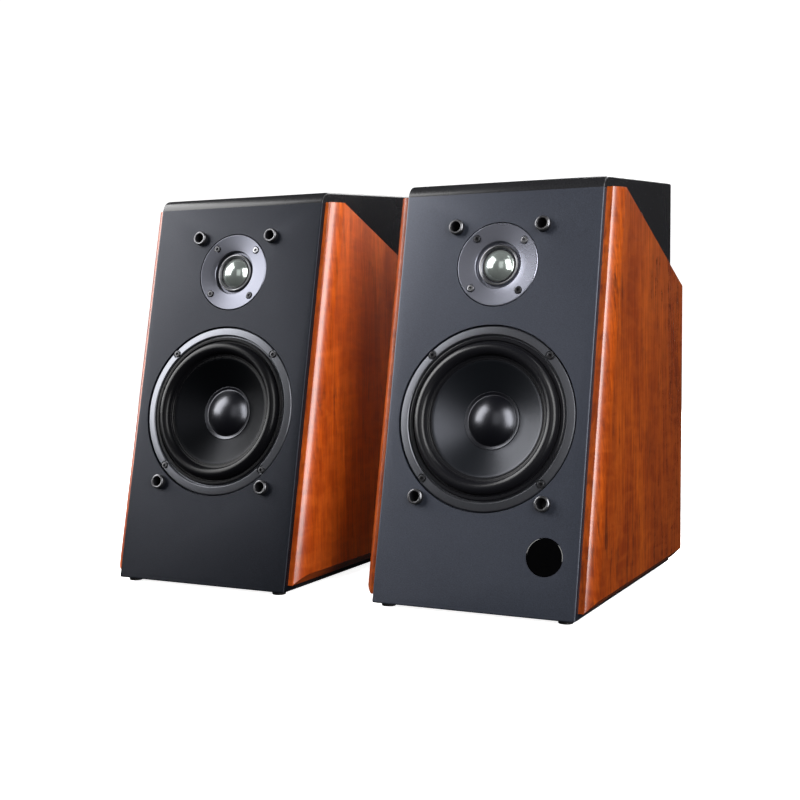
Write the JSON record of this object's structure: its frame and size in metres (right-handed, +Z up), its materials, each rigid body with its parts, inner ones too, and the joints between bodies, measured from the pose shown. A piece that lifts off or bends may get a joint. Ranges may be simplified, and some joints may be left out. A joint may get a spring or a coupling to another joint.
{
  "type": "pair of desktop loudspeakers",
  "caption": "Powered and passive two-way desktop speakers with tilted grey fronts, black cabinets and diagonal wooden side panels.",
  "frame": {"origin": "centre of the pair's footprint box, on the surface the feet stand on", "axes": "+X from the passive speaker towards the powered one (a listener's right), +Y from the fronts towards the backs, +Z up"},
  "size_m": [0.441, 0.294, 0.3503],
  "materials": {
    "cabinet_black": "matte black vinyl over fibreboard",
    "front_grey": "satin charcoal paint with a very fine texture over fibreboard",
    "cherry_veneer": "reddish cherry, satin lacquer, grain running up the panel",
    "foot_rubber": "matte",
    "basket_grey": "satin charcoal",
    "ferrite": "dark grey, with plated steel plates",
    "cone_paper": "coated, dark grey",
    "dust_cap_gloss": "glossy black",
    "surround_rubber": "satin",
    "spider_cloth": "resin-treated cloth",
    "coil_metal": "foil former with a copper winding",
    "black_screw": "blackened steel",
    "treble_plate": "satin grey, dished",
    "dome_film": "smooth grey-green film",
    "socket_plastic": "semi-gloss black",
    "black_plastic": "fine matte",
    "window_gloss": "smoked, polished",
    "amplifier_metal": "fine-textured black powder coat",
    "circuit_board": "green solder mask with parts",
    "transformer_iron": "laminated steel with a taped winding",
    "knob_plastic": "fluted, satin",
    "rocker_plastic": "semi-gloss black",
    "jack_metal": "nickel plate",
    "lever_red": "semi-gloss",
    "lever_black": "semi-gloss",
    "plate_screw": "zinc plated"
  },
  "bodies": {
    "powered_speaker": {"right_cabinet_shell": "cabinet_black", "right_front_board": "front_grey", "right_inner_wood_panel": "cherry_veneer", "right_outer_wood_panel": "cherry_veneer", "right_back_board": "cabinet_black", "right_feet": "foot_rubber", "right_bass_basket": "basket_grey", "right_bass_motor": "ferrite", "right_bass_screws": "black_screw", "right_treble_faceplate": "treble_plate", "right_treble_motor": "ferrite", "right_treble_screws": "black_screw", "right_grille_sockets": "socket_plastic", "right_reflex_port": "black_plastic", "right_window": "window_gloss", "right_amplifier_plate": "amplifier_metal", "right_amplifier_board": "circuit_board", "right_transformer": "transformer_iron", "right_power_switch_body": "black_plastic", "right_mains_inlet": "black_plastic", "right_input_jacks": "jack_metal", "right_terminal_block": "black_plastic", "right_plate_screws": "plate_screw"},
    "passive_speaker": {"left_cabinet_shell": "cabinet_black", "left_front_board": "front_grey", "left_inner_wood_panel": "cherry_veneer", "left_outer_wood_panel": "cherry_veneer", "left_back_board": "cabinet_black", "left_feet": "foot_rubber", "left_bass_basket": "basket_grey", "left_bass_motor": "ferrite", "left_bass_screws": "black_screw", "left_treble_faceplate": "treble_plate", "left_treble_motor": "ferrite", "left_treble_screws": "black_screw", "left_grille_sockets": "socket_plastic", "left_reflex_port": "black_plastic", "left_crossover_board": "circuit_board", "left_terminal_block": "black_plastic", "left_terminal_screws": "plate_screw"},
    "right_bass_diaphragm": {"right_bass_cone": "cone_paper", "right_bass_dust_cap": "dust_cap_gloss", "right_bass_voice_coil": "coil_metal", "right_bass_surround": "surround_rubber", "right_bass_spider": "spider_cloth"},
    "right_treble_diaphragm": {"right_treble_dome": "dome_film"},
    "right_red_clip": {"right_red_lever": "lever_red"},
    "right_black_clip": {"right_black_lever": "lever_black"},
    "left_bass_diaphragm": {"left_bass_cone": "cone_paper", "left_bass_dust_cap": "dust_cap_gloss", "left_bass_voice_coil": "coil_metal", "left_bass_surround": "surround_rubber", "left_bass_spider": "spider_cloth"},
    "left_treble_diaphragm": {"left_treble_dome": "dome_film"},
    "left_red_clip": {"left_red_lever": "lever_red"},
    "left_black_clip": {"left_black_lever": "lever_black"},
    "volume_control": {"right_volume_knob": "knob_plastic"},
    "bass_control": {"right_bass_knob": "knob_plastic"},
    "treble_control": {"right_treble_knob": "knob_plastic"},
    "power_switch": {"right_power_rocker": "rocker_plastic"}
  },
  "joints": [
    {"name": "speaker_spacing", "type": "slide", "parent": "powered_speaker", "child": "passive_speaker", "axis": [-1, 0, 0], "range_m": [0, 0.5]},
    {"name": "right_bass_stroke", "type": "slide", "parent": "powered_speaker", "child": "right_bass_diaphragm", "axis": [0, -0.9774, 0.2113], "range_m": [-0.004, 0.004], "stiffness_N_per_m": 1000, "deforming": ["right_bass_surround", "right_bass_spider"]},
    {"name": "right_treble_stroke", "type": "slide", "parent": "powered_speaker", "child": "right_treble_diaphragm", "axis": [0, -0.9774, 0.2113], "range_m": [-0.0003, 0.0003], "stiffness_N_per_m": 500},
    {"name": "left_bass_stroke", "type": "slide", "parent": "passive_speaker", "child": "left_bass_diaphragm", "axis": [0, -0.9774, 0.2113], "range_m": [-0.004, 0.004], "stiffness_N_per_m": 1000, "deforming": ["left_bass_surround", "left_bass_spider"]},
    {"name": "left_treble_stroke", "type": "slide", "parent": "passive_speaker", "child": "left_treble_diaphragm", "axis": [0, -0.9774, 0.2113], "range_m": [-0.0003, 0.0003], "stiffness_N_per_m": 500},
    {"name": "volume_turn", "type": "hinge", "parent": "powered_speaker", "child": "volume_control", "pos_m": [0.1585, 0.139, 0.208], "axis": [0, 1, 0], "range_deg": [-150, 150]},
    {"name": "bass_turn", "type": "hinge", "parent": "powered_speaker", "child": "bass_control", "pos_m": [0.1245, 0.139, 0.208], "axis": [0, 1, 0], "range_deg": [-150, 150]},
    {"name": "treble_turn", "type": "hinge", "parent": "powered_speaker", "child": "treble_control", "pos_m": [0.0905, 0.139, 0.208], "axis": [0, 1, 0], "range_deg": [-150, 150]},
    {"name": "power_press", "type": "hinge", "parent": "powered_speaker", "child": "power_switch", "pos_m": [0.1565, 0.131, 0.07], "axis": [-1, 0, 0], "range_deg": [0, 16]},
    {"name": "right_red_clip_press", "type": "hinge", "parent": "powered_speaker", "child": "right_red_clip", "pos_m": [0.088, 0.127, 0.1795], "axis": [-1, 0, 0], "range_deg": [0, 18], "stiffness_Nm_per_rad": 0.15, "springref_deg": -17.19},
    {"name": "right_black_clip_press", "type": "hinge", "parent": "powered_speaker", "child": "right_black_clip", "pos_m": [0.109, 0.127, 0.1795], "axis": [-1, 0, 0], "range_deg": [0, 18], "stiffness_Nm_per_rad": 0.15, "springref_deg": -17.19},
    {"name": "left_red_clip_press", "type": "hinge", "parent": "passive_speaker", "child": "left_red_clip", "pos_m": [-0.135, 0.124, 0.1255], "axis": [-1, 0, 0], "range_deg": [0, 18], "stiffness_Nm_per_rad": 0.15, "springref_deg": -17.19},
    {"name": "left_black_clip_press", "type": "hinge", "parent": "passive_speaker", "child": "left_black_clip", "pos_m": [-0.114, 0.124, 0.1255], "axis": [-1, 0, 0], "range_deg": [0, 18], "stiffness_Nm_per_rad": 0.15, "springref_deg": -17.19}
  ]
}
